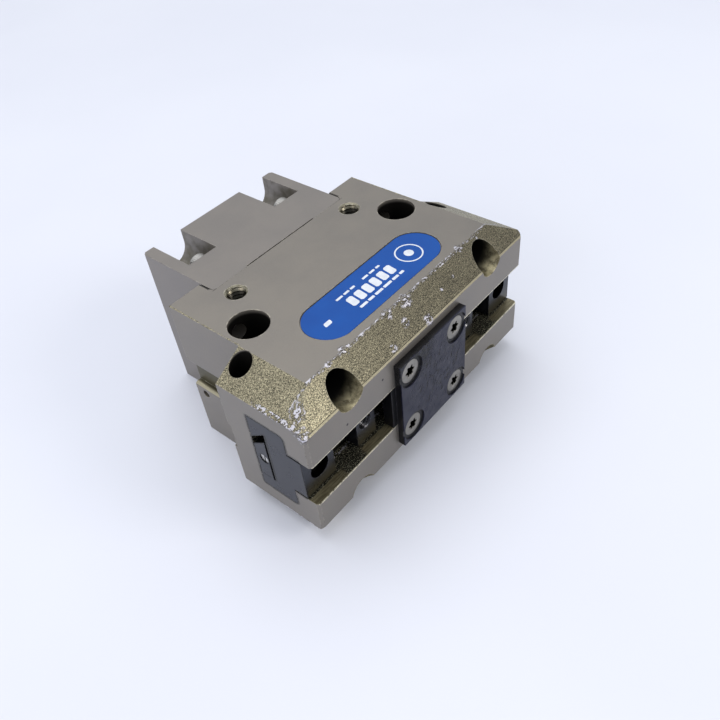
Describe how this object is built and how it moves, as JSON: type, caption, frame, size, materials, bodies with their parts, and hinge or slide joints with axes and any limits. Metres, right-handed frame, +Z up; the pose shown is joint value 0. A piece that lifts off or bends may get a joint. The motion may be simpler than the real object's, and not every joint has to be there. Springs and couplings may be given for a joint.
{
  "type": "pneumatic parallel gripper",
  "caption": "Two-jaw parallel pneumatic gripper with a wedge-hook drive, T-slot base jaws, a black dust plate and a spring housing at the back.",
  "frame": {"origin": "under the middle of the bounding box, on the plane of the lower broad face", "axes": "+Z up out of the upper broad face, X along the jaws' travel, -Y towards the fingers, +Y towards the rear cover"},
  "size_m": [0.1, 0.0886, 0.052],
  "materials": {
    "housing_metal": "fine-milled and blasted hard-anodised grey",
    "cover_metal": "satin hard-anodised grey",
    "jaw_steel": "dark hard-coated, satin",
    "black_coated": "black, worn satin",
    "zinc_steel": "zinc plated",
    "black_steel": "blackened",
    "bright_steel": "ground",
    "piston_metal": "turned",
    "seal_rubber": "matt",
    "guide_plastic": "matt",
    "magnet_metal": "ground",
    "spring_steel": "satin",
    "label_film": "satin film"
  },
  "bodies": {
    "body": {"housing": "housing_metal", "rear_cover": "cover_metal", "cover_seal": "seal_rubber", "cover_screws": "zinc_steel", "centre_plate": "black_coated", "plate_screws": "zinc_steel", "rod_seal": "seal_rubber", "seal_retainer": "bright_steel", "opening_spring_left": "spring_steel", "opening_spring_right": "spring_steel", "port_plugs": "black_steel", "type_label": "label_film"},
    "piston_unit": {"piston": "piston_metal", "piston_seal": "seal_rubber", "piston_guide_ring": "guide_plastic", "piston_magnets": "magnet_metal", "wedge_hook": "bright_steel", "hook_screw": "black_steel"},
    "left_jaw": {"base_jaw_left": "jaw_steel", "switch_cam_left": "jaw_steel", "cam_screw_left": "zinc_steel"},
    "right_jaw": {"base_jaw_right": "jaw_steel", "switch_cam_right": "jaw_steel", "cam_screw_right": "zinc_steel"}
  },
  "joints": [
    {"name": "piston_slide", "type": "slide", "parent": "body", "child": "piston_unit", "axis": [0, 1, 0], "range_m": [0, 0.008], "stiffness_N_per_m": 1500, "springref_m": -0.01, "deforming": ["opening_spring_left", "opening_spring_right"]},
    {"name": "left_jaw_slide", "type": "slide", "parent": "body", "child": "left_jaw", "axis": [1, 0, 0], "range_m": [0, 0.008]},
    {"name": "right_jaw_slide", "type": "slide", "parent": "body", "child": "right_jaw", "axis": [-1, 0, 0], "range_m": [0, 0.008]}
  ],
  "couplings": [
    {"joint": "left_jaw_slide", "follows": "piston_slide", "ratio": 1},
    {"joint": "right_jaw_slide", "follows": "piston_slide", "ratio": 1}
  ]
}
